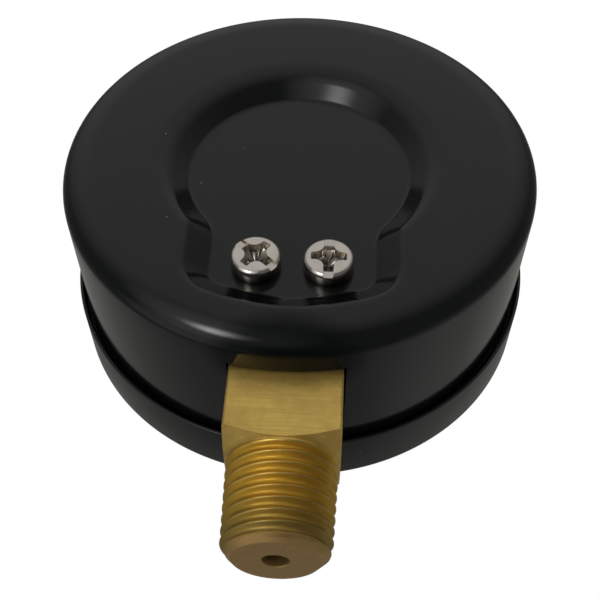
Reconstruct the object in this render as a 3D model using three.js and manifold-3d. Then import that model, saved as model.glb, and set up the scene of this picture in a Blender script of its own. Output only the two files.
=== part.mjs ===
// Bottom-connection utility pressure gauge, 63 mm class: a drawn steel case with a slip ring, a brass
// socket with a tapered pipe thread, a C-shaped Bourdon tube and a geared movement behind the dial.
//
// Millimetres. The origin is the centre of the stem's threaded end. +Z runs up the stem to the dial
// axis, the dial faces -Y and the case back faces +Y. Angles are degrees in the plane of the dial,
// counted from +X towards +Z, so "clockwise" means as seen from the front.

import * as THREE from 'three';
import { mergeVertices } from 'three/addons/utils/BufferGeometryUtils.js';
import Module from 'manifold-3d';

const wasm = await Module();
wasm.setup();

// ---------------------------------------------------------------- driving dimensions

const DIAL_AXIS_Z = 53.1;   // height of the dial axis above the stem's threaded end
const GAP = 0.1;            // clearance left between pieces that sit against each other
const RUNNING = 0.08;       // radial clearance of a pivot in its hole

// The drawn cup: closed at the back (+Y), open at the front.
const CASE = { radius: 32.4, steel: 0.8, backY: 12.7, rimY: -13.4, edge: 4.2, hole: 14.6 };

// The keyhole-shaped recess pressed into the back. The outline is that of its floor, and the wall
// widens it by `run` up to the back.
const RECESS = {
  depth: 3, run: 3.4, radius: 15, centreZ: -1.25, padHalf: 10.4, padReach: 23.3, corner: 2, neck: 6,
};

// The slip ring that holds the window on, and the window with its rubber.
const RING = { radius: 33.5, steel: 0.5, rearY: -8.6, frontY: -17.4, opening: 28.9, edge: 0.9 };
const LENS = { radius: 32.6, frontY: -16.7, thick: 2 };
const GASKET = { outer: 32.9, inner: 29.8, skirt: 0.4, frontY: -14.5, flange: 0.9, rearY: -11 };

// The brass socket: tapered thread, wrench square, then the block that everything else hangs on.
const THREAD = { endRadius: 6.45, length: 13.2, pitch: 1.411, depth: 0.85, chamfer: 1.1, taper: 1 / 32 };
const SQUARE = { side: 14, topZ: 20.4, neckSide: 13.7, neckTopZ: 26 };
const BLOCK = { halfX: 8.2, frontY: 0.4, backY: 8.6, bottomZ: 24, topZ: 39.6 };
const BORE = { radius: 1.6, topZ: 22, passageRadius: 1 };

// Screws, all with their heads on the side away from what they hold.
const CASE_SCREW = { x: 4.6, z: -18, shank: 2, length: 6, head: 3.2, headHeight: 2.4, slot: 1.3 };
const MOVEMENT_SCREW = { shank: 1, length: 4.2, head: 1.9, headHeight: 1.2, slot: 0.5 };
const MOVEMENT_SCREW_SITES = { upper: [0, -15.4], lower: [5.2, -23.5] };
const DIAL_SCREW = { shank: 0.8, length: 2.4, head: 1.6, headHeight: 0.7, slot: 0.4 };
const PILLAR_SCREW = { shank: 0.85, length: 2.4, head: 1.7, headHeight: 0.8, slot: 0.4 };

// The Bourdon tube: an oval section bent round the dial axis, clockwise from the block to its tip.
const TUBE = { radius: 22.5, y: 4.5, halfWide: 3.2, halfThick: 1.7, wall: 0.4, rootDeg: -103, tipDeg: -365 };
const TIP = { length: 3.2, halfThick: 2.3, earBack: 1, pinX: 17.6, pinZ: -5, earRadius: 1.3 };

// The movement: two plates, three pillars, a sector and a pinion.
const BOTTOM_PLATE = { frontY: -0.9, backY: 0.1 };
const TOP_PLATE = { frontY: -7, backY: -6.2 };
const PLATE_MARGIN = 2.8;
const PILLARS = { left: [-11, 0], right: [11, 0], lower: [-6, -13.2] };
const PILLAR = { radius: 1.7, stud: 0.9 };
const GEAR = { module: 0.22, pinionTeeth: 12, sectorTeeth: 120, pressureDeg: 20, slack: 0.12 };
const SECTOR = { frontY: -2.7, backY: -1.7, towardsDeg: -50.6, teethBefore: 11, teethAfter: 2, rim: 1.9 };
const TAIL = { length: 6.5, restDeg: -23.5, half: 1.3 };
const LINK = { frontY: -3.8, backY: -3, half: 1.25 };
const PIN = { radius: 0.45, head: 0.8, play: 0.3 };
const ARBOR = { body: 0.95, pivot: 0.6, nose: 0.75, noseY: -13.6 };
const SPRING = { turns: 4.5, inner: 1.75, outer: 4.9, ribbon: 0.18, frontY: -5.5, backY: -4.9 };

// Dial, pointer and the pin that stops it at zero.
const DIAL = { radius: 30.8, frontY: -11.6, backY: -11.1, hole: 2.6 };
const POINTER = { frontY: -13.1, backY: -12.7, reach: 24, tail: 9, zeroDeg: 225, hub: 1.5, collar: 2.5 };
const STOP = { radius: 0.5, at: 14, frontY: -13.8 };

// ---------------------------------------------------------------- finishes

function finish(color, roughness, metalness, extra = {}) {
  return new THREE.MeshStandardMaterial({ color, roughness, metalness, ...extra });
}

const blackPaint = () => finish(0x17181a, 0.25, 0);
const brass = () => finish(0xb08a3e, 0.35, 1);
const bronze = () => finish(0xa8783f, 0.4, 1);
const nickel = () => finish(0xc9c4ba, 0.2, 1);
const steel = () => finish(0x8f9193, 0.4, 1);
const rubber = () => finish(0x1c1c1c, 0.9, 0);
const glass = () => finish(0xe8f0f0, 0.05, 0, { transparent: true, opacity: 0.25 });
const whitePaint = () => finish(0xf2f1ec, 0.5, 0);

// ---------------------------------------------------------------- geometry helpers

const radians = THREE.MathUtils.degToRad;

function polar(radius, degrees) {
  return [radius * Math.cos(radians(degrees)), radius * Math.sin(radians(degrees))];
}

// A closed mesh as a solid that can be joined and cut.
function toSolid(geometry) {
  const bare = geometry.clone();
  bare.deleteAttribute('normal');
  bare.deleteAttribute('uv');
  const merged = mergeVertices(bare, 1e-4);
  const corners = merged.index.array;
  const kept = [];
  for (let i = 0; i < corners.length; i += 3) {
    const [a, b, c] = corners.slice(i, i + 3);
    if (a !== b && b !== c && c !== a) kept.push(a, b, c);
  }
  const vertProperties = merged.attributes.position.array;
  return new wasm.Manifold(new wasm.Mesh({ numProp: 3, vertProperties, triVerts: Uint32Array.from(kept) }));
}

function toGeometry(solid) {
  const { vertProperties, triVerts } = solid.getMesh();
  const geometry = new THREE.BufferGeometry();
  geometry.setAttribute('position', new THREE.BufferAttribute(vertProperties, 3));
  geometry.setIndex(new THREE.BufferAttribute(triVerts, 1));
  geometry.computeVertexNormals();
  return geometry;
}

function join(first, ...rest) {
  return toGeometry(rest.reduce((solid, piece) => solid.add(toSolid(piece)), toSolid(first)));
}

function cut(body, ...tools) {
  return toGeometry(tools.reduce((solid, tool) => solid.subtract(toSolid(tool)), toSolid(body)));
}

// Turned about the Y axis from [radius, y] points, with the outside going up in y.
function turned(points, segments = 32) {
  return new THREE.LatheGeometry(points.map(([radius, y]) => new THREE.Vector2(radius, y)), segments);
}

// Points of a quarter circle or less, from one angle to another, in the same [radius, y] form.
function arcPoints(centreRadius, centreY, radius, fromDeg, toDeg, steps = 5) {
  return Array.from({ length: steps + 1 }, (_, i) => {
    const [dx, dy] = polar(radius, fromDeg + (toDeg - fromDeg) * i / steps);
    return [centreRadius + dx, centreY + dy];
  });
}

// A round bar along Y, centred on [x, z].
function bar(radius, lowY, highY, [x, z] = [0, 0], segments = 16) {
  const cylinder = new THREE.CylinderGeometry(radius, radius, highY - lowY, segments);
  return cylinder.translate(x, (lowY + highY) / 2, z);
}

// A flat piece between two Y planes, from an outline drawn in X and Z as seen from the front.
function flat(outline, lowY, highY, curveSegments = 4) {
  const options = { depth: highY - lowY, bevelEnabled: false, curveSegments };
  return new THREE.ExtrudeGeometry(outline, options).rotateX(Math.PI / 2).translate(0, highY, 0);
}

function block(lowX, highX, lowY, highY, lowZ, highZ) {
  const box = new THREE.BoxGeometry(highX - lowX, highY - lowY, highZ - lowZ);
  return box.translate((lowX + highX) / 2, (lowY + highY) / 2, (lowZ + highZ) / 2);
}

// A convex outline with a round corner about each centre; centres run counter-clockwise.
function roundedOutline(centres, radius) {
  const outline = new THREE.Shape();
  centres.forEach(([x, y], i) => {
    const [beforeX, beforeY] = centres.at(i - 1);
    const [afterX, afterY] = centres[(i + 1) % centres.length];
    const arriving = Math.atan2(y - beforeY, x - beforeX) - Math.PI / 2;
    const leaving = Math.atan2(afterY - y, afterX - x) - Math.PI / 2;
    outline.absarc(x, y, radius, arriving, leaving, false);
  });
  return outline;
}

// ---------------------------------------------------------------- case, ring and window

// Floor outline of the recess: a round part and a pad below it, joined by filleted necks.
function keyhole() {
  const { radius, centreZ, padHalf, padReach, corner, neck } = RECESS;
  const neckX = padHalf + neck;
  const neckZ = centreZ - Math.sqrt((radius + neck) ** 2 - neckX ** 2);
  const neckAngle = Math.atan2(neckZ - centreZ, neckX);
  const cornerX = padHalf - corner;
  const cornerZ = -Math.sqrt((padReach - corner) ** 2 - cornerX ** 2);
  const cornerAngle = Math.atan2(cornerZ, cornerX);
  const outline = new THREE.Shape();
  outline.absarc(0, centreZ, radius, neckAngle, Math.PI - neckAngle, false);
  outline.absarc(-neckX, neckZ, neck, -neckAngle, 0, true);
  outline.absarc(-cornerX, cornerZ, corner, Math.PI, Math.PI - cornerAngle, false);
  outline.absarc(0, 0, padReach, -Math.PI - cornerAngle, cornerAngle, false);
  outline.absarc(cornerX, cornerZ, corner, cornerAngle, 0, false);
  outline.absarc(neckX, neckZ, neck, Math.PI, Math.PI + neckAngle, true);
  return outline;
}

// The space the recess takes out of the back, or out of the steel `under` mm beneath it.
function recess(under) {
  const above = 1;
  const options = {
    depth: above, bevelThickness: RECESS.depth, bevelSize: RECESS.run, bevelOffset: under, bevelSegments: 1,
    curveSegments: 7,
  };
  const space = new THREE.ExtrudeGeometry(keyhole(), options);
  return space.rotateX(Math.PI / 2).translate(0, CASE.backY - under + above, 0);
}

function caseShell() {
  const { radius, steel: wall, backY, rimY, edge, hole } = CASE;
  const inside = radius - wall;
  const segments = 60;
  const outer = turned([
    [0, rimY], [radius, rimY], ...arcPoints(radius - edge, backY - edge, edge, 0, 90), [0, backY],
  ], segments);
  const cavity = turned([
    [0, rimY - 1], [inside, rimY - 1], ...arcPoints(radius - edge, backY - edge, edge - wall, 0, 90),
    [0, backY - wall],
  ], segments);
  const stemHole = block(-hole / 2, hole / 2, -hole / 2, hole / 2, -radius - 1, -radius / 2);
  const screwHoles = [-1, 1].map((side) => {
    return bar(CASE_SCREW.shank + 2 * GAP, 0, backY, [side * CASE_SCREW.x, CASE_SCREW.z]);
  });
  return cut(outer, recess(0), cut(cavity, recess(wall)), stemHole, ...screwHoles);
}

function bezelRing() {
  const { radius, steel: wall, rearY, frontY, opening, edge } = RING;
  return turned([
    [opening, frontY],
    ...arcPoints(radius - edge, frontY + edge, edge, -90, 0, 3),
    [radius, rearY], [radius - wall, rearY],
    ...arcPoints(radius - edge, frontY + edge, edge - wall, 0, -90, 2),
    [opening, frontY + wall], [opening, frontY],
  ], 60);
}

function windowLens() {
  const { radius, frontY, thick } = LENS;
  return turned([[0, frontY], [radius, frontY], [radius, frontY + thick], [0, frontY + thick]], 48);
}

// An angle-section rubber: a flange between window and case rim, and a skirt inside the ring.
function windowGasket() {
  const { outer, inner, skirt, frontY, flange, rearY } = GASKET;
  return turned([
    [inner, frontY], [outer, frontY], [outer, rearY], [outer - skirt, rearY],
    [outer - skirt, frontY + flange], [inner, frontY + flange], [inner, frontY],
  ], 48);
}

// ---------------------------------------------------------------- socket and screws

// Thread, wrench square, neck through the case and the block, about the stem's own axis.
function stemSocket() {
  const crest = (z) => THREAD.endRadius + z * THREAD.taper;
  const profile = [[0, 0], [THREAD.endRadius - THREAD.depth, 0]];
  for (let z = THREAD.chamfer; z + THREAD.pitch < THREAD.length; z += THREAD.pitch) {
    const root = z + THREAD.pitch / 2;
    profile.push([crest(z), z], [crest(root) - THREAD.depth, root]);
  }
  const bite = 1;
  profile.push([crest(THREAD.length), THREAD.length], [crest(THREAD.length), THREAD.length + bite]);
  profile.push([0, THREAD.length + bite]);
  const thread = turned(profile, 28).rotateX(Math.PI / 2);
  const half = SQUARE.side / 2;
  const square = block(-half, half, -half, half, THREAD.length, SQUARE.topZ);
  const neckHalf = SQUARE.neckSide / 2;
  const neck = block(-neckHalf, neckHalf, -neckHalf, neckHalf, SQUARE.topZ - bite, SQUARE.neckTopZ);
  const { halfX, frontY, backY, bottomZ, topZ } = BLOCK;
  const upper = block(-halfX, halfX, frontY, backY, bottomZ, topZ);
  const body = join(thread, square, neck, upper);
  return cut(body, ...pressurePath(), ...tappedHoles());
}

// The bore up the stem, the slanting passage off its top and the pocket that takes the tube's root.
function pressurePath() {
  const lowZ = -1;
  const bore = bar(BORE.radius, lowZ, BORE.topZ).rotateX(Math.PI / 2);
  const [pocketX, pocketZ] = polar(TUBE.radius, TUBE.rootDeg);
  const from = new THREE.Vector3(0, 0, BORE.topZ - BORE.passageRadius);
  const to = new THREE.Vector3(pocketX, TUBE.y, pocketZ + DIAL_AXIS_Z);
  const along = to.clone().sub(from);
  const passage = new THREE.CylinderGeometry(BORE.passageRadius, BORE.passageRadius, along.length(), 16);
  const turn = new THREE.Quaternion().setFromUnitVectors(new THREE.Vector3(0, 1, 0), along.normalize());
  const middle = from.clone().add(to).multiplyScalar(0.5);
  passage.applyQuaternion(turn).translate(middle.x, middle.y, middle.z);
  const clear = 0.3;
  const deeperDeg = 1.5;
  const pocketSpanDeg = 14;
  const section = ovalSection(TUBE.halfWide + clear, TUBE.halfThick + clear);
  const pocket = alongDialArc(section, TUBE.rootDeg + deeperDeg, TUBE.rootDeg - pocketSpanDeg, 6);
  return [bore, passage, pocket.translate(0, 0, DIAL_AXIS_Z)];
}

// Blind holes for the screws of the case, from behind, and of the movement, from the front.
function tappedHoles() {
  const bottom = 0.5;
  const holes = [-1, 1].map((side) => {
    const deep = CASE.backY - RECESS.depth - CASE_SCREW.length - bottom;
    const site = [side * CASE_SCREW.x, CASE_SCREW.z + DIAL_AXIS_Z];
    return bar(CASE_SCREW.shank + GAP, deep, CASE.backY, site);
  });
  for (const [x, z] of Object.values(MOVEMENT_SCREW_SITES)) {
    const deep = BOTTOM_PLATE.frontY + MOVEMENT_SCREW.length + bottom;
    holes.push(bar(MOVEMENT_SCREW.shank + GAP, -1, deep, [x, z + DIAL_AXIS_Z]));
  }
  return holes;
}

// A slotted screw along Y with its head towards -Y, its seat at y = 0.
function slottedScrew({ shank, length, head, headHeight, slot }) {
  const chamfer = headHeight / 4;
  const body = turned([
    [0, -headHeight], [head - chamfer, -headHeight], [head, chamfer - headHeight], [head, 0], [shank, 0],
    [shank, length - chamfer], [shank - chamfer, length], [0, length],
  ], 16);
  const groove = block(-head, head, -headHeight - 1, -headHeight / 2, -slot / 2, slot / 2);
  return cut(body, groove);
}

// The same with a cross recess as well as the slot, which runs right across the head.
function combinationScrew(screw, slotDeg) {
  const { head, headHeight, slot } = screw;
  const wing = head * 0.55;
  const cross = block(-slot / 2, slot / 2, -headHeight - 1, -headHeight / 3, -wing, wing);
  return cut(slottedScrew(screw), cross).rotateY(-radians(slotDeg));
}

// ---------------------------------------------------------------- Bourdon tube and its tip

// An arc about the dial axis in the plane of the tube.
class DialArc extends THREE.Curve {
  constructor(fromDeg, toDeg) {
    super();
    this.fromDeg = fromDeg;
    this.toDeg = toDeg;
  }

  getPoint(t, target = new THREE.Vector3()) {
    const [x, z] = polar(TUBE.radius, THREE.MathUtils.lerp(this.fromDeg, this.toDeg, t));
    return target.set(x, TUBE.y, z);
  }
}

// A flattened oval: wide along Y once swept, thin along the radius of the dial.
function ovalSection(halfWide, halfThick) {
  const straight = halfWide - halfThick;
  const outline = new THREE.Shape();
  outline.absarc(straight, 0, halfThick, -Math.PI / 2, Math.PI / 2, false);
  outline.absarc(-straight, 0, halfThick, Math.PI / 2, Math.PI * 1.5, false);
  return outline;
}

function alongDialArc(section, fromDeg, toDeg, steps) {
  const extrudePath = new DialArc(fromDeg, toDeg);
  return new THREE.ExtrudeGeometry(section, { steps, curveSegments: 3, extrudePath, bevelEnabled: false });
}

function bourdonTube() {
  const section = ovalSection(TUBE.halfWide, TUBE.halfThick);
  section.holes.push(ovalSection(TUBE.halfWide - TUBE.wall, TUBE.halfThick - TUBE.wall));
  return alongDialArc(section, TUBE.rootDeg, TUBE.tipDeg, 36);
}

// The end piece soldered on the tube, with an ear in front that carries the link's upper pin.
function tubeTip() {
  const [endX, endZ] = polar(TUBE.radius, TUBE.tipDeg);
  const lowY = TUBE.y - TUBE.halfWide - GAP;
  const highY = TUBE.y + TUBE.halfWide + GAP;
  const plug = block(-TIP.halfThick, TIP.halfThick, lowY, highY, -TIP.length - GAP, -GAP);
  plug.rotateY(-radians(TUBE.tipDeg)).translate(endX, 0, endZ);
  const ear = roundedOutline([[TIP.pinX, TIP.pinZ], [endX - 1, endZ - TIP.length + 0.5]], TIP.earRadius);
  const plate = flat(ear, SECTOR.frontY, SECTOR.backY);
  const webX = endX - 1;
  const web = block(webX - 1, webX + 1, SECTOR.frontY, lowY + TIP.earBack, endZ - TIP.length, endZ - 1);
  const pinHole = bar(PIN.radius + RUNNING, SECTOR.frontY - 1, SECTOR.backY + 1, [TIP.pinX, TIP.pinZ]);
  return cut(join(plug, plate, web), pinHole);
}

// ---------------------------------------------------------------- movement

const GEAR_CENTRES = GEAR.module * (GEAR.pinionTeeth + GEAR.sectorTeeth) / 2;
const SECTOR_PIVOT = polar(GEAR_CENTRES, SECTOR.towardsDeg);
const TAIL_PIN = polar(TAIL.length, TAIL.restDeg);

// One involute tooth centred on an angle: [radius, degrees] from its left root to its right root.
function tooth(teeth, centreDeg) {
  const pitchRadius = GEAR.module * teeth / 2;
  const baseRadius = pitchRadius * Math.cos(radians(GEAR.pressureDeg));
  const involute = (angle) => Math.tan(angle) - angle;
  const halfAtPitch = Math.PI / (2 * teeth) * (1 - GEAR.slack);
  const halfAngle = (radius) => {
    const pressure = Math.acos(baseRadius / Math.max(radius, baseRadius));
    return halfAtPitch + involute(radians(GEAR.pressureDeg)) - involute(pressure);
  };
  const heights = [-1.15, 0, 0.9];
  const flank = heights.map((height) => pitchRadius + height * GEAR.module);
  const rising = flank.map((radius) => [radius, centreDeg - THREE.MathUtils.radToDeg(halfAngle(radius))]);
  const falling = rising.toReversed().map(([radius, degrees]) => [radius, 2 * centreDeg - degrees]);
  return [...rising, ...falling];
}

function outlineOf(polarPoints) {
  const points = polarPoints.map(([radius, degrees]) => new THREE.Vector2(...polar(radius, degrees)));
  return new THREE.Shape(points);
}

// Both plates reach round the upper pillars and the sector's pivot, and down to their own lower corners.
function plateOutline(lowerCorners) {
  return roundedOutline([PILLARS.left, ...lowerCorners, SECTOR_PIVOT, PILLARS.right], PLATE_MARGIN);
}

function plate(outline, { frontY, backY }, holes) {
  const tools = holes.map(([radius, site]) => bar(radius, frontY - 1, backY + 1, site));
  return cut(flat(outline, frontY, backY), ...tools);
}

function bottomPlate() {
  const { upper, lower } = MOVEMENT_SCREW_SITES;
  const foot = [-lower[0], lower[1]];
  return plate(plateOutline([foot, lower]), BOTTOM_PLATE, [
    [ARBOR.pivot + RUNNING, [0, 0]],
    [ARBOR.pivot + RUNNING, SECTOR_PIVOT],
    [MOVEMENT_SCREW.shank + GAP, upper],
    [MOVEMENT_SCREW.shank + GAP, lower],
    ...Object.values(PILLARS).map((site) => [PILLAR.stud + GAP, site]),
  ]);
}

function topPlate() {
  return plate(plateOutline([PILLARS.lower]), TOP_PLATE, [
    [ARBOR.nose + RUNNING, [0, 0]],
    [ARBOR.pivot + RUNNING, SECTOR_PIVOT],
    ...Object.values(PILLARS).map((site) => [PILLAR.stud + GAP, site]),
  ]);
}

// A pillar with a riveted stud behind and a tapped hole in front.
function pillar() {
  const body = bar(PILLAR.radius, TOP_PLATE.backY + GAP, BOTTOM_PLATE.frontY - GAP);
  const stud = bar(PILLAR.stud, BOTTOM_PLATE.frontY - GAP - 1, BOTTOM_PLATE.backY - GAP / 2);
  const holeDepth = 2.4;
  const hole = bar(PILLAR.stud + GAP / 2, TOP_PLATE.backY - 1, TOP_PLATE.backY + holeDepth);
  return cut(join(body, stud), hole);
}

// A post that screws through the top plate into its pillar and carries the dial.
function dialPost() {
  const shoulderY = TOP_PLATE.frontY - GAP;
  const post = bar(PILLAR.radius + 0.2, DIAL.backY + GAP, shoulderY);
  const stud = bar(PILLAR_SCREW.shank, shoulderY - 1, shoulderY + PILLAR_SCREW.length);
  const hole = bar(DIAL_SCREW.shank + GAP, DIAL.backY, DIAL.backY + DIAL_SCREW.length);
  return cut(join(post, stud), hole);
}

function pinionArbor() {
  const points = [];
  for (let i = 0; i < GEAR.pinionTeeth; i += 1) {
    points.push(...tooth(GEAR.pinionTeeth, SECTOR.towardsDeg + (i + 0.5) * 360 / GEAR.pinionTeeth));
  }
  const leafBackY = BOTTOM_PLATE.frontY - 0.3;
  const leafFrontY = SECTOR.frontY - 0.7;
  const leaves = flat(outlineOf(points), leafFrontY, leafBackY);
  const taper = 0.12;
  const shaft = turned([
    [0, ARBOR.noseY], [ARBOR.nose - taper, ARBOR.noseY], [ARBOR.nose, DIAL.frontY],
    [ARBOR.nose, TOP_PLATE.backY + GAP], [ARBOR.body, TOP_PLATE.backY + GAP],
    [ARBOR.body, BOTTOM_PLATE.frontY - GAP], [ARBOR.pivot, BOTTOM_PLATE.frontY - GAP],
    [ARBOR.pivot, BOTTOM_PLATE.backY], [0, BOTTOM_PLATE.backY],
  ], 20);
  return join(shaft, leaves);
}

function sectorArbor() {
  const { pivot, body } = ARBOR;
  return turned([
    [0, TOP_PLATE.frontY], [pivot, TOP_PLATE.frontY], [pivot, TOP_PLATE.backY + GAP],
    [body, TOP_PLATE.backY + GAP], [body, BOTTOM_PLATE.frontY - GAP], [pivot, BOTTOM_PLATE.frontY - GAP],
    [pivot, BOTTOM_PLATE.backY], [0, BOTTOM_PLATE.backY],
  ], 20);
}

// The toothed sector about its own pivot, with its hub, web and the tail that the link pulls.
function sectorGear() {
  const { frontY, backY, towardsDeg, teethBefore, teethAfter, rim } = SECTOR;
  const meshDeg = towardsDeg + 180;
  const stepDeg = 360 / GEAR.sectorTeeth;
  const teeth = [];
  for (let i = -teethBefore; i <= teethAfter; i += 1) {
    teeth.push(...tooth(GEAR.sectorTeeth, meshDeg + i * stepDeg));
  }
  const innerRadius = GEAR.module * GEAR.sectorTeeth / 2 - rim;
  const firstDeg = meshDeg - (teethBefore + 0.5) * stepDeg;
  const lastDeg = meshDeg + (teethAfter + 0.5) * stepDeg;
  const inner = [];
  const innerSteps = 6;
  for (let i = 0; i <= innerSteps; i += 1) {
    inner.push([innerRadius, lastDeg + (firstDeg - lastDeg) * i / innerSteps]);
  }
  const band = flat(outlineOf([...teeth, ...inner]), frontY, backY);
  const hubRadius = 2.3;
  const hub = bar(hubRadius, frontY, backY);
  const spoke = 0.9;
  const reach = innerRadius + rim / 3;
  const insetDeg = 4;
  const spokes = [firstDeg + insetDeg, lastDeg - insetDeg].map((degrees) => {
    return flat(roundedOutline([[0, 0], polar(reach, degrees)], spoke), frontY, backY, 4);
  });
  const tail = flat(roundedOutline([[0, 0], TAIL_PIN], TAIL.half), frontY, backY);
  const arborHole = bar(ARBOR.body + GAP / 2, frontY - 1, backY + 1);
  const pinHole = bar(PIN.radius + GAP / 2, frontY - 1, backY + 1, TAIL_PIN);
  return cut(join(band, hub, ...spokes, tail), arborHole, pinHole);
}

// From the tip's pin to the tail's pin; the tail's hole is the one with play.
function link() {
  const tail = [SECTOR_PIVOT[0] + TAIL_PIN[0], SECTOR_PIVOT[1] + TAIL_PIN[1]];
  const reach = [tail[0] - TIP.pinX, tail[1] - TIP.pinZ];
  const strip = flat(roundedOutline([[0, 0], reach], LINK.half), LINK.frontY, LINK.backY);
  const tipHole = bar(PIN.radius + RUNNING, LINK.frontY - 1, LINK.backY + 1);
  const tailHole = bar(PIN.radius + PIN.play, LINK.frontY - 1, LINK.backY + 1, reach);
  return cut(strip, tipHole, tailHole);
}

// A headed pin through the link and the piece behind it.
function linkPin() {
  const head = 0.5;
  return turned([
    [0, LINK.frontY - GAP - head], [PIN.head, LINK.frontY - GAP - head], [PIN.head, LINK.frontY - GAP],
    [PIN.radius, LINK.frontY - GAP], [PIN.radius, SECTOR.backY + GAP], [0, SECTOR.backY + GAP],
  ], 16);
}

// A flat spiral ribbon round the pinion arbor.
function hairspring() {
  const { turns, inner, outer, ribbon, frontY, backY } = SPRING;
  const steps = Math.round(turns * 18);
  const side = (offset) => Array.from({ length: steps + 1 }, (_, i) => {
    const share = i / steps;
    return [inner + (outer - inner) * share + offset, share * turns * 360];
  });
  return flat(outlineOf([...side(ribbon / 2), ...side(-ribbon / 2).toReversed()]), frontY, backY);
}

function hairspringCollet() {
  const low = SPRING.frontY - 0.2;
  const high = SPRING.backY + 0.2;
  return cut(bar(SPRING.inner - ribbonClear(), low, high), bar(ARBOR.body + GAP / 2, low - 1, high + 1));
}

// The stud that holds the spring's outer end, hung under the top plate.
function hairspringStud() {
  const half = 0.6;
  const radius = SPRING.outer + ribbonClear() + half;
  const [x, z] = polar(radius, SPRING.turns * 360);
  return block(x - half, x + half, TOP_PLATE.backY + GAP, SPRING.backY, z - half, z + half);
}

function ribbonClear() {
  return SPRING.ribbon / 2 + GAP;
}

// ---------------------------------------------------------------- dial and pointer

function stopSite() {
  const besideDeg = 6;
  return polar(STOP.at, POINTER.zeroDeg + besideDeg);
}

function dialPlate() {
  const { radius, frontY, backY, hole } = DIAL;
  const disc = turned([[0, frontY], [radius, frontY], [radius, backY], [0, backY]], 48);
  const screwHoles = [PILLARS.left, PILLARS.right].map((site) => {
    return bar(DIAL_SCREW.shank + GAP, frontY - 1, backY + 1, site);
  });
  const stopHole = bar(STOP.radius + GAP / 2, frontY - 1, backY + 1, stopSite());
  return cut(disc, bar(hole, frontY - 1, backY + 1), ...screwHoles, stopHole);
}

function stopPin() {
  return bar(STOP.radius, STOP.frontY, DIAL.backY);
}

// The blade points along +X here and is turned to zero where it is placed.
function pointer() {
  const { frontY, backY, reach, tail, hub } = POINTER;
  const shoulder = 3.6;
  const rootHalf = 1.05;
  const tipHalf = 0.25;
  const tailHalf = 1.9;
  const blade = new THREE.Shape([
    [-tail, -tailHalf], [-shoulder, -rootHalf], [shoulder, -rootHalf], [reach - 1, -tipHalf], [reach, 0],
    [reach - 1, tipHalf], [shoulder, rootHalf], [-shoulder, rootHalf], [-tail, tailHalf],
  ].map(([x, y]) => new THREE.Vector2(x, y)));
  const boss = bar(shoulder, frontY, backY, [0, 0], 28);
  const hole = bar(hub + GAP / 2, frontY - 1, backY + 1);
  return cut(join(flat(blade, frontY, backY), boss), hole);
}

function pointerHub() {
  const { frontY, backY, hub, collar } = POINTER;
  const behind = backY + GAP;
  const cap = 0.8;
  const body = turned([
    [0, frontY - cap], [hub - 0.3, frontY - cap], [hub, frontY - cap + 0.3], [hub, behind],
    [collar, behind], [collar, behind + 0.4], [0, behind + 0.4],
  ], 28);
  return cut(body, bar(ARBOR.nose + GAP / 2, ARBOR.noseY - GAP, DIAL.frontY));
}

// ---------------------------------------------------------------- assembly

function named(name, geometry, material, [x, z] = [0, 0], y = 0) {
  const mesh = new THREE.Mesh(geometry, material);
  mesh.name = name;
  mesh.position.set(x, y, z);
  return mesh;
}

// Everything centred on the dial axis.
function caseAndWindow() {
  const group = new THREE.Group();
  group.add(
    named('case_shell', caseShell(), blackPaint()),
    named('bezel_ring', bezelRing(), blackPaint()),
    named('window_lens', windowLens(), glass()),
    named('window_gasket', windowGasket(), rubber()),
  );
  const headSeat = CASE.backY - RECESS.depth + GAP;
  for (const [side, across, slotDeg] of [['left', -1, 90], ['right', 1, -38]]) {
    const screw = combinationScrew(CASE_SCREW, slotDeg).rotateZ(Math.PI);
    group.add(named(`case_screw_${side}`, screw, nickel(), [across * CASE_SCREW.x, CASE_SCREW.z], headSeat));
  }
  return group;
}

function tubeAndTip() {
  const group = new THREE.Group();
  group.add(
    named('bourdon_tube', bourdonTube(), bronze()),
    named('tube_tip', tubeTip(), brass()),
    named('link', link(), brass(), [TIP.pinX, TIP.pinZ]),
    named('link_pin_tip', linkPin(), steel(), [TIP.pinX, TIP.pinZ]),
  );
  return group;
}

function movement() {
  const group = new THREE.Group();
  group.add(
    named('movement_bottom_plate', bottomPlate(), brass()),
    named('movement_top_plate', topPlate(), brass()),
    named('pinion_arbor', pinionArbor(), steel()),
    named('hairspring', hairspring(), bronze()),
    named('hairspring_collet', hairspringCollet(), brass()),
    named('hairspring_stud', hairspringStud(), brass()),
  );
  for (const [name, site] of Object.entries(PILLARS)) {
    group.add(named(`movement_pillar_${name}`, pillar(), brass(), site));
  }
  for (const [name, site] of Object.entries(MOVEMENT_SCREW_SITES)) {
    const seat = BOTTOM_PLATE.frontY - GAP;
    group.add(named(`movement_screw_${name}`, slottedScrew(MOVEMENT_SCREW), steel(), site, seat));
  }
  const screwSeat = TOP_PLATE.frontY - GAP;
  group.add(named('pillar_screw', slottedScrew(PILLAR_SCREW), steel(), PILLARS.lower, screwSeat));
  group.add(sectorAssembly());
  return group;
}

function sectorAssembly() {
  const group = new THREE.Group();
  group.position.set(SECTOR_PIVOT[0], 0, SECTOR_PIVOT[1]);
  group.add(
    named('sector_gear', sectorGear(), brass()),
    named('sector_arbor', sectorArbor(), steel()),
    named('link_pin_sector', linkPin(), steel(), TAIL_PIN),
  );
  return group;
}

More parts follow.
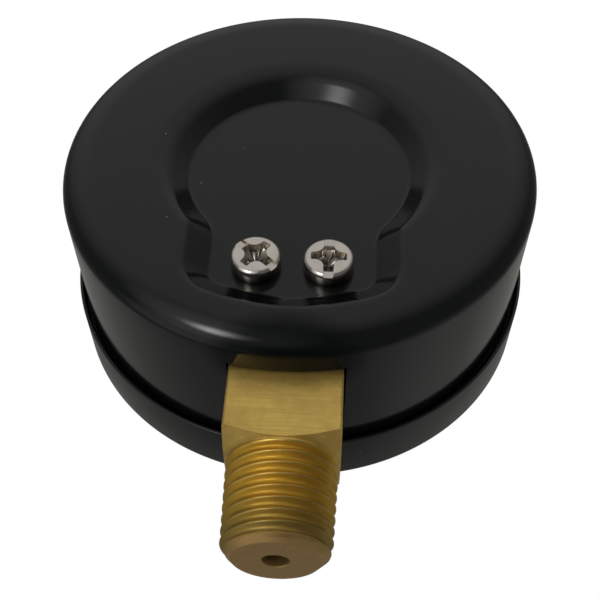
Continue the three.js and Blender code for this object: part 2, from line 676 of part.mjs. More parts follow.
function dialAndPointer() {
  const group = new THREE.Group();
  group.add(named('dial_plate', dialPlate(), whitePaint()));
  group.add(named('stop_pin', stopPin(), steel(), stopSite()));
  for (const side of ['left', 'right']) {
    const screw = slottedScrew(DIAL_SCREW);
    group.add(
      named(`dial_post_${side}`, dialPost(), brass(), PILLARS[side]),
      named(`dial_screw_${side}`, screw, nickel(), PILLARS[side], DIAL.frontY - GAP),
    );
  }
  const blade = pointer().rotateY(-radians(POINTER.zeroDeg));
  group.add(named('pointer', blade, blackPaint()), named('pointer_hub', pointerHub(), brass()));
  return group;
}

const gauge = new THREE.Group();
const aboutDialAxis = new THREE.Group();
aboutDialAxis.position.z = DIAL_AXIS_Z;
aboutDialAxis.add(caseAndWindow(), tubeAndTip(), movement(), dialAndPointer());
gauge.add(named('stem_socket', stemSocket(), brass()), aboutDialAxis);

export default gauge;
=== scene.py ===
"""Looks of a bottom-connection pressure gauge, 63 mm class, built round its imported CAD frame.

Lengths in this file are millimetres and become metres where meshes are made. The gauge's own frame is
used throughout: the origin is the centre of the stem's threaded end, +Z runs up the stem, the dial faces
-Y and the case back faces +Y. "Dial coordinates" are X and Z counted from the dial axis.
"""

import math

import bmesh
import bpy
import numpy as np
from mathutils import Matrix, Vector


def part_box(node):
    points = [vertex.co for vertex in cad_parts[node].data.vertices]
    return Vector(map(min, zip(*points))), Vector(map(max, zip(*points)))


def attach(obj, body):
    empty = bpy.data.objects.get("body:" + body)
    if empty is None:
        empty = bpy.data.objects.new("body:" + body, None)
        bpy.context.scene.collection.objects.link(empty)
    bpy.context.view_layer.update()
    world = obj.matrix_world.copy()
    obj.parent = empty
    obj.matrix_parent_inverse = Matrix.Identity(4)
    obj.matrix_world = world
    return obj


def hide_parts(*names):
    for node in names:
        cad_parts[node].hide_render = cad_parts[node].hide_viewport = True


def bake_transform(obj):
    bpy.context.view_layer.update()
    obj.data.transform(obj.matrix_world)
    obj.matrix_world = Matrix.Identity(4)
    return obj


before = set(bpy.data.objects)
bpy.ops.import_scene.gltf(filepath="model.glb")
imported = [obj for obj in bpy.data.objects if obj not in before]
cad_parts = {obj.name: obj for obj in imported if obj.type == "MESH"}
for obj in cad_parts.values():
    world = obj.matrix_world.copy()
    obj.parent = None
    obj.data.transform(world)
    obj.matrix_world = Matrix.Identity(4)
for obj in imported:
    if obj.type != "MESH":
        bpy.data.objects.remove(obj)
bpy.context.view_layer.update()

MM = 0.001


def node_box(node):
    """A node's lowest and highest corners in millimetres."""
    low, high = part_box(node)
    return Vector(low) / MM, Vector(high) / MM


# ------------------------------------------------------------------ sizes read from the frame

CASE_LOW, CASE_HIGH = node_box("case_shell")
RING_LOW, RING_HIGH = node_box("bezel_ring")
LENS_LOW, LENS_HIGH = node_box("window_lens")
SEAL_LOW, SEAL_HIGH = node_box("window_gasket")
STEM_LOW, STEM_HIGH = node_box("stem_socket")

CASE_RADIUS = (CASE_HIGH.x - CASE_LOW.x) / 2
DIAL_AXIS_Z = (CASE_HIGH.z + CASE_LOW.z) / 2
BACK_Y = CASE_HIGH.y
RIM_Y = CASE_LOW.y
RING_RADIUS = (RING_HIGH.x - RING_LOW.x) / 2
DIAL_FRONT_Y = node_box("dial_plate")[0].y

# ------------------------------------------------------------------ sizes of the fine shape

CASE = {"steel": 0.8, "edge_run": 4.8, "edge_drop": 3.0, "hole": 14.6}
RECESS = {
    "depth": 3, "run": 3.4, "radius": 15, "centre_z": -1.25, "pad_half": 10.4, "pad_reach": 23.3,
    "corner": 2, "neck": 6, "foot_round": 1.2, "pad_brow": 1.8, "top_brow": 5,
    "brow_z": -13, "brow_rise": 11,
}
RING = {"steel": 0.5, "opening": 28.9, "edge": 0.9, "hem": 0.16}
THREAD = {"end_radius": 6.45, "length": 12.05, "pitch": 1.411, "depth": 0.64, "taper": 1 / 32, "fade": 0.7}
THREAD_CHAMFER = {"face_radius": 5.1, "slope": 0.9}
SQUARE = {"half": 7, "corner": 0.45, "shoulder_slope": 0.45, "top_z": 25}
BORE = {"radius": 1.6, "depth": 20, "countersink": 0.1}
SOCKET = {"bottom": 25.2, "front": 0.4, "rear": 8.6, "bevel": 0.3}
SCREW = {
    "x": 4.6, "z": -18, "head": 3.22, "height": 2.4, "crown": 0.3, "rim": 0.7,
    "slot": 1.35, "slot_depth": 0.65, "shank": 2, "shank_length": 5.4,
}
CROSS = {"wing": 2.3, "half_width": 0.62, "fillet": 1.2, "wing_end": 0.22}
SEAL = {"inner": 29.8, "skirt": 0.4, "flange": 0.9, "round": 0.12}
SCALE = {
    "zero_deg": 225, "sweep_deg": 270, "top": 100, "numbered": 10, "per_number": 5, "outer": 27.6,
    "long": 4.2, "short": 2.4, "long_half": 0.26, "short_half": 0.13, "arc_inner": 27.4, "arc_outer": 27.75,
    "number_size": 4.2, "number_radius": 20.4, "unit_size": 4.0, "unit_radius": 11.5, "ink": 0.03,
}
POINTER = {"reach": 24, "tail": 9, "boss": 3.6, "root_half": 1.05, "tail_half": 1.9, "tip_half": 0.25}
HUB = {"radius": 1.5, "collar": 2.5, "collar_height": 0.4, "bead": 0.15}
DIAL_SCREW = {"head": 1.6, "shank": 0.8, "height": 0.7, "slot_depth": 0.6, "slot": 0.4}
TUBE = {"radius": 22.5, "y": 4.5, "half_wide": 3.2, "half_thick": 1.7, "root_deg": -103, "tip_deg": -365}


# ------------------------------------------------------------------ outlines

def filleted(corners, closed=False, steps=6):
    """Points along (u, v, radius) corners, with each corner rounded to its radius."""
    points = []
    for i, (u, v, radius) in enumerate(corners):
        is_end = not closed and i in (0, len(corners) - 1)
        if radius == 0 or is_end:
            points.append((u, v))
            continue
        here = Vector((u, v))
        before = (Vector(corners[i - 1][:2]) - here).normalized()
        after = (Vector(corners[(i + 1) % len(corners)][:2]) - here).normalized()
        half = before.angle(after) / 2
        centre = here + (before + after).normalized() * (radius / math.sin(half))
        start = here + before * (radius / math.tan(half)) - centre
        end = here + after * (radius / math.tan(half)) - centre
        first = math.atan2(start.y, start.x)
        sweep = math.remainder(math.atan2(end.y, end.x) - first, 2 * math.pi)
        for k in range(steps + 1):
            angle = first + sweep * k / steps
            points.append((centre.x + radius * math.cos(angle), centre.y + radius * math.sin(angle)))
    return points


def arc(centre, radius, first, last, spacing=0.05):
    """Points and outward normals along a circle's arc, as an array of x, z, normal x, normal z."""
    count = max(2, int(abs(last - first) * radius / spacing))
    angles = np.linspace(first, last, count)
    direction = np.stack([np.cos(angles), np.sin(angles)], axis=1)
    return np.hstack([np.array(centre) + radius * direction, direction])


def keyhole():
    """Floor outline of the recess: a round part, a pad below it and filleted necks between them."""
    neck, pad, corner = RECESS["neck"], RECESS["pad_half"], RECESS["corner"]
    centre_z = RECESS["centre_z"]
    neck_x = pad + neck
    neck_z = centre_z - math.sqrt((RECESS["radius"] + neck) ** 2 - neck_x ** 2)
    neck_angle = math.atan2(neck_z - centre_z, neck_x)
    corner_x = pad - corner
    corner_z = -math.sqrt((RECESS["pad_reach"] - corner) ** 2 - corner_x ** 2)
    corner_angle = math.atan2(corner_z, corner_x)
    side_z = np.linspace(corner_z, neck_z, 80)
    side = np.stack([np.full(80, pad), side_z, np.ones(80), np.zeros(80)], axis=1)
    fillet = arc((neck_x, neck_z), neck, math.pi, math.pi + neck_angle)
    fillet[:, 2:] *= -1
    right = np.vstack([
        arc((0, 0), RECESS["pad_reach"], -math.pi / 2, corner_angle),
        arc((corner_x, corner_z), corner, corner_angle, 0),
        side,
        fillet,
        arc((0, centre_z), RECESS["radius"], neck_angle, math.pi / 2),
    ])
    left = right[::-1] * np.array([-1, 1, -1, 1])
    return np.vstack([right, left])


def keyhole_at(angles):
    """The keyhole's points and outward normals where rays from the dial axis meet it."""
    outline = keyhole()
    bearing = np.unwrap(np.arctan2(outline[:, 1], outline[:, 0]))
    order = np.argsort(bearing)
    turns = np.floor((angles - bearing[order[0]]) / (2 * math.pi))
    wanted = angles - turns * 2 * math.pi
    return np.stack([np.interp(wanted, bearing[order], outline[order, k]) for k in range(4)], axis=1)


# ------------------------------------------------------------------ meshes

def grid_faces(rows, columns, wrap=True, skipped=()):
    """Quads between neighbouring rows; `wrap` also joins the last column to the first."""
    skipped = set(skipped)
    faces = []
    for row in range(rows - 1):
        for column in range(columns if wrap else columns - 1):
            if (row, column) in skipped:
                continue
            after = (column + 1) % columns
            low, high = row * columns, (row + 1) * columns
            faces.append((low + column, low + after, high + after, high + column))
    return faces


def heal(mesh, gap, closed=True):
    """Joins points closer than `gap` millimetres; a closed mesh gets its faces turned outward."""
    made = bmesh.new()
    made.from_mesh(mesh)
    if gap:
        bmesh.ops.remove_doubles(made, verts=made.verts, dist=gap * MM)
        bmesh.ops.dissolve_degenerate(made, edges=made.edges, dist=gap * MM)
    if closed:
        bmesh.ops.recalc_face_normals(made, faces=made.faces)
    made.to_mesh(mesh)
    made.free()


def new_object(name, vertices, faces, gap=1e-4, closed=True):
    """A mesh object from points in millimetres, healed."""
    mesh = bpy.data.meshes.new(name)
    mesh.from_pydata([tuple(MM * c for c in v) for v in vertices], [], faces)
    heal(mesh, gap, closed)
    piece = bpy.data.objects.new(name, mesh)
    bpy.context.collection.objects.link(piece)
    return piece


def smooth(piece, sharp_deg=35):
    """Smooth shading, with edges steeper than `sharp_deg` kept sharp."""
    mesh = piece.data
    mesh.polygons.foreach_set("use_smooth", [True] * len(mesh.polygons))
    mesh.set_sharp_from_angle(angle=math.radians(sharp_deg))
    return piece


def modify(piece, kind, **settings):
    """Adds a modifier, applies it to the mesh and takes it off again."""
    modifier = piece.modifiers.new(kind.lower(), kind)
    for name, value in settings.items():
        setattr(modifier, name, value)
    evaluated = piece.evaluated_get(bpy.context.evaluated_depsgraph_get())
    mesh = bpy.data.meshes.new_from_object(evaluated)
    piece.modifiers.clear()
    old, piece.data = piece.data, mesh
    mesh.name = old.name
    bpy.data.meshes.remove(old)
    return piece


def cut(piece, *tools):
    """Cuts each tool out of the piece and removes the tool."""
    for tool in tools:
        modify(piece, "BOOLEAN", operation="DIFFERENCE", solver="EXACT", object=tool)
        bpy.data.objects.remove(tool)
    return piece


def finish_piece(piece, body, material, slot, *nodes):
    """Gives the piece its material, hangs it on the body it rides on and hides the CAD nodes it stands for.
    """
    piece.data.materials.clear()
    piece.data.materials.append(material)
    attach(piece, body)
    if nodes:
        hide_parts(*nodes)
    return piece


def spun(name, profile, centre=(0, 0), segments=96, closed=False):
    """A turned piece about an axis along Y, from (radius, y) points; centre is in dial coordinates."""
    points = np.array(profile)
    if closed:
        points = np.vstack([points, points[:1]])
    angles = np.linspace(0, 2 * math.pi, segments, endpoint=False)
    x = centre[0] + points[:, :1] * np.cos(angles)
    z = DIAL_AXIS_Z + centre[1] + points[:, :1] * np.sin(angles)
    y = np.repeat(points[:, 1:], segments, axis=1)
    vertices = np.stack([x, y, z], axis=2).reshape(-1, 3)
    return new_object(name, vertices, grid_faces(len(points), segments))


def box(size, centre):
    """A box about its centre, as a cutter or to be worked further."""
    corners = [Vector((i, j, k)) for i in (-0.5, 0.5) for j in (-0.5, 0.5) for k in (-0.5, 0.5)]
    vertices = [Vector(centre) + Vector(c * s for c, s in zip(corner, size)) for corner in corners]
    faces = [(0, 1, 3, 2), (4, 6, 7, 5), (0, 4, 5, 1), (2, 3, 7, 6), (0, 2, 6, 4), (1, 5, 7, 3)]
    return new_object("box", vertices, faces)


# ------------------------------------------------------------------ material helpers

def new_material(name, **values):
    """A material with one Principled shader; values name the shader's sockets with _ for spaces."""
    material = bpy.data.materials.new(name)
    material.use_nodes = True
    shader = material.node_tree.nodes["Principled BSDF"]
    for socket, value in values.items():
        shader.inputs[socket.replace("_", " ")].default_value = value
    return material, material.node_tree, shader


def add(tree, kind, values=None, **settings):
    """A shader node with its settings and its input values or links."""
    made = tree.nodes.new("ShaderNode" + kind)
    for name, value in settings.items():
        setattr(made, name, value)
    for socket, value in (values or {}).items():
        if isinstance(value, bpy.types.NodeSocket):
            tree.links.new(value, made.inputs[socket])
        else:
            made.inputs[socket].default_value = value
    return made


def place(tree):
    """Object coordinates, in metres."""
    return add(tree, "TexCoord").outputs["Object"]


def noise(tree, size, detail=2.0, vector=None, roughness=0.5):
    """Noise whose features are about `size` millimetres across, from 0 to 1."""
    values = {
        "Vector": vector or place(tree), "Scale": 1 / (size * MM), "Detail": detail, "Roughness": roughness,
    }
    return add(tree, "TexNoise", values).outputs["Fac"]


def scaled(tree, vector, factors):
    """A vector with each part multiplied by its own factor."""
    return add(tree, "VectorMath", {0: vector, 1: factors}, operation="MULTIPLY").outputs[0]


def math_node(tree, operation, first, second=0.0, third=0.0):
    """The result of one Math node."""
    return add(tree, "Math", {0: first, 1: second, 2: third}, operation=operation).outputs[0]


def between(tree, value, low, high, to_low=0.0, to_high=1.0):
    """Maps low..high to to_low..to_high, held at the ends."""
    values = {"Value": value, "From Min": low, "From Max": high, "To Min": to_low, "To Max": to_high}
    return add(tree, "MapRange", values).outputs["Result"]


def blend_colours(tree, factor, first, second):
    """The first colour at factor 0, the second at factor 1."""
    made = add(tree, "Mix", data_type="RGBA")
    for index, value in ((0, factor), (6, first), (7, second)):
        if isinstance(value, bpy.types.NodeSocket):
            tree.links.new(value, made.inputs[index])
        else:
            made.inputs[index].default_value = value if index == 0 else (*value, 1)
    return made.outputs[2]


def bump(tree, shader, height, depth):
    """Raises the surface by `height`, at most `depth` millimetres."""
    values = {"Height": height, "Distance": depth * MM}
    tree.links.new(add(tree, "Bump", values).outputs[0], shader.inputs["Normal"])


def specks(tree, cell, size, share):
    """1 on scattered round specks, `size` of a cell across, in about `share` of the cells."""
    values = {"Vector": place(tree), "Scale": 1 / (cell * MM)}
    voronoi = add(tree, "TexVoronoi", values)
    draw = add(tree, "SeparateColor", {0: voronoi.outputs["Color"]}).outputs[0]
    chosen = math_node(tree, "LESS_THAN", draw, share)
    near = between(tree, voronoi.outputs["Distance"], size * 0.6, size, 1.0, 0.0)
    return math_node(tree, "MULTIPLY", chosen, near)


# ------------------------------------------------------------------ materials

# Heights up the stem between which each band of its finish fades in; the band just under the case's edge is
# painted shadow.
STEM_BANDS = {"thread": (12.4, 11.6), "used": (7.0, 2.6), "case_shadow": (20.4, 21.4), "turned_end": (2.1, 1.2)}
# Painted shade: the case paint's reflection is darkened round the stem's cut-out.
STEM_CUTOUT_SHADE = {"middle": (0, 8.5, 21.5), "reach": 6.5}


def dull_near(tree, shader, middle, reach):
    """Takes the shine off the paint round a point, further along X than across it."""
    where = scaled(tree, place(tree), (0.6, 1, 1))
    ends = {0: where, 1: Vector(middle) * MM}
    away = add(tree, "VectorMath", ends, operation="DISTANCE").outputs["Value"]
    shine = between(tree, away, reach * 0.7 * MM, reach * MM, 0.15, 0.5)
    tree.links.new(shine, shader.inputs["Specular IOR Level"])


def black_paint(name, base, gloss, dull=None):
    """Stoved gloss enamel: slight orange peel, faint handling marks and a little dust."""
    material, tree, shader = new_material(name, Specular_IOR_Level=0.5, IOR=1.5)
    haze = noise(tree, 9, 3)
    cool = (0.85, 1.0, 1.1)
    tint = blend_colours(tree, haze, [base * 0.75 * c for c in cool], [base * 1.25 * c for c in cool])
    dust = specks(tree, 2.6, 0.032, 0.4)
    tint = blend_colours(tree, dust, tint, (0.30, 0.30, 0.27))
    tree.links.new(tint, shader.inputs["Base Color"])
    rough = between(tree, haze, 0.3, 0.7, gloss * 0.8, gloss * 1.3)
    rough = math_node(tree, "ADD", rough, math_node(tree, "MULTIPLY", dust, 0.5))
    tree.links.new(rough, shader.inputs["Roughness"])
    bump(tree, shader, noise(tree, 1.3, 1), 0.003)
    if dull:
        dull_near(tree, shader, dull["middle"], dull["reach"])
    return material


def brass(name, bright, dull):
    """Machined brass: fine tool marks across Z, patches of tarnish and small dark nicks."""
    material, tree, shader = new_material(name, Metallic=1.0)
    where = place(tree)
    lines = noise(tree, 0.16, 2, scaled(tree, where, (0.02, 0.02, 1.0)))
    stain = noise(tree, 2.8, 4)
    colour = blend_colours(tree, between(tree, stain, 0.35, 0.7), bright, dull)
    colour = blend_colours(tree, between(tree, lines, 0.45, 0.75, 0.0, 0.35), colour, dull)
    nicks = specks(tree, 1.7, 0.09, 0.16)
    colour = blend_colours(tree, math_node(tree, "MULTIPLY", nicks, 0.8), colour, (0.10, 0.065, 0.03))
    tree.links.new(colour, shader.inputs["Base Color"])
    rough = between(tree, noise(tree, 1.2, 3), 0.3, 0.7, 0.26, 0.42)
    tree.links.new(rough, shader.inputs["Roughness"])
    height = math_node(tree, "SUBTRACT", math_node(tree, "MULTIPLY", lines, 0.5), nicks)
    bump(tree, shader, height, 0.02)
    return material


def stem_band(tree, height, name, low=0.0, high=1.0):
    """Runs from `low` to `high` along the stem between the two heights of the named band."""
    first, last = STEM_BANDS[name]
    return between(tree, height, first * MM, last * MM, low, high)


def stem_brass():
    """The stem's brass: matt and lined on the wrench flats, clean in the thread, brown at its end; painted
    shadow darkens it under the case's edge and painted shade deepens the thread's roots.
    """
    material, tree, shader = new_material("stem_brass")
    where = place(tree)
    lines = noise(tree, 0.3, 3, scaled(tree, where, (0.04, 0.04, 1.0)))
    flat = scaled(tree, where, (1, 1, 0))
    across = add(tree, "VectorMath", {0: flat}, operation="LENGTH").outputs["Value"]
    rings = noise(tree, 0.45, 2, add(tree, "CombineXYZ", {0: across}).outputs[0])
    facing_down = add(tree, "SeparateXYZ", {0: add(tree, "NewGeometry").outputs["Normal"]}).outputs[2]
    end_face = between(tree, facing_down, -0.8, -0.97)
    tool_marks = add(tree, "Mix", {0: end_face, 2: lines, 3: rings}, data_type="FLOAT").outputs[0]
    height = add(tree, "SeparateXYZ", {0: where}).outputs[2]
    in_thread = stem_band(tree, height, "thread")
    stain = between(tree, noise(tree, 3.0, 6, roughness=0.65), 0.38, 0.68)
    golden, tan = (0.78, 0.55, 0.14), (0.60, 0.385, 0.10)
    colour = blend_colours(tree, stain, golden, tan)
    colour = blend_colours(tree, between(tree, tool_marks, 0.4, 0.75, 0.0, 0.8), colour, tan)
    # Painted shade: the thread's roots are coloured a darker, deeper amber than the crests.
    amber = blend_colours(tree, stain, (0.74, 0.45, 0.06), (0.66, 0.39, 0.05))
    in_groove = between(tree, add(tree, "Attribute", attribute_name="groove").outputs["Fac"], 0.02, 0.3)
    colour = blend_colours(tree, in_groove, colour, amber)
    patchy = math_node(tree, "MULTIPLY_ADD", noise(tree, 3.5, 3), 1.6 * MM, height)
    used = stem_band(tree, patchy, "used", 0.0, 0.7)
    colour = blend_colours(tree, used, colour, (0.33, 0.25, 0.085))
    brown = blend_colours(tree, rings, (0.50, 0.31, 0.115), (0.38, 0.24, 0.09))
    # Painted shadow: the brass darkens towards the case's edge, where the case shades it.
    case_shadow = stem_band(tree, height, "case_shadow", 0.0, 0.75)
    colour = blend_colours(tree, case_shadow, colour, (0.22, 0.15, 0.05))
    turned_end = stem_band(tree, patchy, "turned_end")
    colour = blend_colours(tree, turned_end, colour, brown)
    nicks = specks(tree, 2.1, 0.07, 0.12)
    colour = blend_colours(tree, math_node(tree, "MULTIPLY", nicks, 0.7), colour, (0.12, 0.08, 0.04))
    tree.links.new(colour, shader.inputs["Base Color"])
    matt = math_node(tree, "SUBTRACT", in_thread, turned_end)
    tree.links.new(between(tree, matt, 0.0, 1.0, 0.8, 0.97), shader.inputs["Metallic"])
    rough = between(tree, noise(tree, 1.2, 3), 0.3, 0.7, 0.27, 0.4)
    rough = math_node(tree, "ADD", rough, math_node(tree, "MULTIPLY", in_groove, 0.16))
    tree.links.new(rough, shader.inputs["Roughness"])
    marks = math_node(tree, "SUBTRACT", math_node(tree, "MULTIPLY", tool_marks, 0.4), nicks)
    bump(tree, shader, marks, 0.012)
    return material


def nickel():
    """Bright nickel plate, clean on the screws' faces, with painted shade darkening it lower down the
    heads' sides and in the recess.
    """
    material, tree, shader = new_material("nickel_plate", Metallic=1.0)
    cloud = noise(tree, 1.6, 3)
    clean = blend_colours(tree, between(tree, cloud, 0.35, 0.7), (0.86, 0.80, 0.72), (0.78, 0.72, 0.64))
    height = add(tree, "SeparateXYZ", {0: place(tree)}).outputs[1]
    top = BACK_Y - RECESS["depth"] + SCREW["height"]
    lit_y, side_shade_y, foot_shade_y = top - 0.55, top - 1.4, top - 2.0
    # Painted shade: the plate darkens down the heads' sides, and more at their foot in the recess.
    side_shade = between(tree, height, side_shade_y * MM, lit_y * MM, 1.0, 0.0)
    dull = blend_colours(tree, side_shade, clean, (0.42, 0.385, 0.335))
    foot_shade = between(tree, height, foot_shade_y * MM, side_shade_y * MM, 1.0, 0.0)
    tree.links.new(blend_colours(tree, foot_shade, dull, (0.13, 0.12, 0.11)), shader.inputs["Base Color"])
    tree.links.new(between(tree, cloud, 0.3, 0.7, 0.09, 0.18), shader.inputs["Roughness"])
    bump(tree, shader, noise(tree, 0.25, 3), 0.005)
    return material


def plain_metal(name, colour, roughness):
    """Bright or drawn metal for the hidden works, with fine scratches and clouding."""
    material, tree, shader = new_material(name, Metallic=1.0)
    cloud = noise(tree, 2.2, 4)
    dark = tuple(c * 0.7 for c in colour)
    tree.links.new(blend_colours(tree, cloud, colour, dark), shader.inputs["Base Color"])
    rough = between(tree, cloud, 0.3, 0.7, roughness * 0.8, roughness * 1.3)
    tree.links.new(rough, shader.inputs["Roughness"])
    scratches = noise(tree, 0.2, 2, scaled(tree, place(tree), (1.0, 0.05, 0.1)))
    bump(tree, shader, scratches, 0.008)
    return material


def rubber():
    """Black seal rubber with a slight bloom."""
    material, tree, shader = new_material("seal_rubber", Roughness=0.75)
    bloom = noise(tree, 1.5, 4)
    tree.links.new(blend_colours(tree, bloom, (0.012,) * 3, (0.03,) * 3), shader.inputs["Base Color"])
    bump(tree, shader, noise(tree, 0.2, 3), 0.02)
    return material


def clear_glass():
    """Clear window glass with a trace of haze."""
    values = {"Transmission_Weight": 1.0, "IOR": 1.5, "Specular_IOR_Level": 0.3}
    material, tree, shader = new_material("window_clear", **values)
    shader.inputs["Base Color"].default_value = (0.97, 0.99, 0.98, 1)
    tree.links.new(between(tree, noise(tree, 12, 2), 0.3, 0.7, 0.0, 0.02), shader.inputs["Roughness"])
    return material


def dial_white():
    """Baked white enamel on the dial, a little mottled."""
    material, tree, shader = new_material("dial_enamel", Roughness=0.4)
    tint = blend_colours(tree, noise(tree, 3, 4), (0.84, 0.84, 0.81), (0.78, 0.78, 0.75))
    tree.links.new(tint, shader.inputs["Base Color"])
    bump(tree, shader, noise(tree, 0.6, 2), 0.004)
    return material


def ink(name, shade):
    """Printing ink or pointer enamel: nearly black, with a slightly uneven surface."""
    material, tree, shader = new_material(name, Roughness=0.45)
    tint = blend_colours(tree, noise(tree, 0.8, 3), (shade,) * 3, (shade * 1.6,) * 3)
    tree.links.new(tint, shader.inputs["Base Color"])
    bump(tree, shader, noise(tree, 0.3, 2), 0.003)
    return material


PAINT_CASE = black_paint("case_enamel", 0.003, 0.12, STEM_CUTOUT_SHADE)
PAINT_RING = black_paint("ring_enamel", 0.004, 0.22)
STEM_BRASS = stem_brass()
WORKS_BRASS = brass("works_brass", (0.66, 0.47, 0.17), (0.5, 0.34, 0.12))
NICKEL = nickel()
STEEL = plain_metal("bright_steel", (0.50, 0.51, 0.52), 0.3)
BRONZE = plain_metal("tube_bronze", (0.58, 0.36, 0.17), 0.35)
RUBBER = rubber()
GLASS = clear_glass()
DIAL_WHITE = dial_white()
DIAL_INK = ink("dial_ink", 0.012)
POINTER_BLACK = ink("pointer_enamel", 0.01)


# ------------------------------------------------------------------ case and ring

def case_columns():
    """Column angles round the case, with two of them on the sides of the stem's cut-out."""
    half = math.asin(CASE["hole"] / 2 / CASE_RADIUS)
    across = np.linspace(-half, half, 15)
    around = np.linspace(half, 2 * math.pi - half, 420)[1:-1]
    return np.concatenate([across, around]) - math.pi / 2, len(across)


def recess_profile(brow_round):
    """(offset from the floor outline, y) up the recess wall, with its rounded foot and brow."""
    floor_y, overlap, reach = BACK_Y - RECESS["depth"], 2, 9
    corners = [
        (-overlap, floor_y, 0),
        (0, floor_y, RECESS["foot_round"]),
        (RECESS["run"], BACK_Y, brow_round),
        (reach, BACK_Y, 0),
    ]
    return filleted(corners, steps=9)[1:-1]


def recess_rows(angles):
    """Rows of points over the recess floor and up its wall.

    The brow's rounding grows from the pad's to the top's, over `brow_rise` from `brow_z` up.
    """
    foot = keyhole_at(angles)
    outline, normal = foot[:, :2], foot[:, 2:]
    upward = np.clip((outline[:, 1] - RECESS["brow_z"]) / RECESS["brow_rise"], 0, 1)
    brow_rounds = RECESS["pad_brow"] + (RECESS["top_brow"] - RECESS["pad_brow"]) * upward
    profiles = np.array([recess_profile(brow_round) for brow_round in brow_rounds])
    inner = outline + normal * profiles[:, :1, 0]
    floor_y = np.full(len(angles), BACK_Y - RECESS["depth"])
    rows = [(inner * share, floor_y) for share in (0.02, 0.3, 0.6, 0.85, 0.97)]
    for k in range(profiles.shape[1]):
        rows.append((outline + normal * profiles[:, k, :1], profiles[:, k, 1]))
    return rows


def wall_rows(angles):
    """Rows of points round the case's rounded edge, a quarter ellipse, and down its wall."""
    bearing = np.stack([np.cos(angles), np.sin(angles)], axis=1)
    run, drop, steps = CASE["edge_run"], CASE["edge_drop"], 20
    rows = []
    for k in range(steps + 1):
        turn = math.pi / 2 * k / steps
        radius = CASE_RADIUS - run * (1 - math.sin(turn))
        rows.append((bearing * radius, BACK_Y - drop * (1 - math.cos(turn))))
    rows += [(bearing * CASE_RADIUS, y) for y in (CASE["hole"] / 2, 0, -CASE["hole"] / 2, RIM_Y)]
    return [(points, np.full(len(angles), y)) for points, y in rows]


def fill_flat(piece, y):
    """Fills the flat between the open edges of a mesh at height y, then turns all faces one way."""
    made = bmesh.new()
    made.from_mesh(piece.data)
    open_edges = [edge for edge in made.edges if edge.is_boundary]
    rims = [edge for edge in open_edges if all(abs(v.co.y - y) < 1e-7 for v in edge.verts)]
    bmesh.ops.triangle_fill(made, use_beauty=True, edges=rims)
    bmesh.ops.recalc_face_normals(made, faces=made.faces)
    back = max(made.faces, key=lambda face: face.calc_area())
    if back.normal.y < 0:
        bmesh.ops.reverse_faces(made, faces=made.faces)
    made.to_mesh(piece.data)
    made.free()


def case_shell():
    """The drawn steel cup, one sheet of steel thick, with its cut-out for the stem."""
    angles, across = case_columns()
    inner, outer = recess_rows(angles), wall_rows(angles)
    rows, count = inner + outer, len(angles)
    vertices = [(x, y, z + DIAL_AXIS_Z) for points, ys in rows for (x, z), y in zip(points, ys)]
    flat = [(len(inner) - 1, column) for column in range(count)]
    hole_rows = [i for i, (_, ys) in enumerate(rows) if abs(ys[0]) <= CASE["hole"] / 2][:-1]
    hole = [(row, column) for row in hole_rows for column in range(across - 1)]
    faces = grid_faces(len(rows), count, skipped=flat + hole)
    faces.append(tuple(reversed(range(count))))
    shell = new_object("case_shell_painted", vertices, faces, closed=False)
    fill_flat(shell, BACK_Y * MM)
    modify(shell, "SOLIDIFY", thickness=CASE["steel"] * MM, offset=-1)
    finish_piece(smooth(shell), "case", PAINT_CASE, "black_paint", "case_shell")


def slip_ring():
    """The ring that holds the window on: a sheet steel band with its lip rolled over the front."""
    steel, edge, hem = RING["steel"], RING["edge"], RING["hem"]
    front, rear, radius = RING_LOW.y, RING_HIGH.y, RING_RADIUS
    profile = filleted([
        (RING["opening"], front, hem), (radius, front, edge), (radius, rear, hem),
        (radius - steel, rear, hem), (radius - steel, front + steel, edge - steel),
        (RING["opening"], front + steel, hem),
    ], closed=True)
    ring = spun("slip_ring_painted", profile, segments=256, closed=True)
    finish_piece(smooth(ring), "case", PAINT_RING, "black_paint", "bezel_ring")


# ------------------------------------------------------------------ stem

def stem_columns():
    """Angles and radii of the rounded square's outline, seen along the stem."""
    half, corner = SQUARE["half"], SQUARE["corner"]
    side = [(half, t) for t in np.linspace(corner - half, half - corner, 38)]
    turn = [math.pi / 2 * k / 6 for k in range(1, 6)]
    bend = [(half - corner + corner * math.cos(a), half - corner + corner * math.sin(a)) for a in turn]
    quarter = np.array(side + bend)
    around = []
    for _ in range(4):
        around.append(quarter)
        quarter = np.stack([-quarter[:, 1], quarter[:, 0]], axis=1)
    outline = np.vstack(around)
    angles = np.unwrap(np.arctan2(outline[:, 1], outline[:, 0]))
    return angles, np.hypot(outline[:, 0], outline[:, 1])


def crest_radius(z):
    """Radius over the thread's crests, z millimetres up the stem."""
    return THREAD["end_radius"] + z * THREAD["taper"]


def thread_profile():
    """One pitch of thread as (share of the pitch, share of the depth): a thin crest, a rounded root."""
    return [
        (0.00, 0.0), (0.05, 0.0), (0.08, 0.05), (0.16, 0.32), (0.25, 0.60), (0.34, 0.82), (0.42, 0.95),
        (0.50, 1.0), (0.57, 1.0), (0.64, 0.95), (0.71, 0.83), (0.79, 0.61), (0.88, 0.33), (0.965, 0.04),
    ]


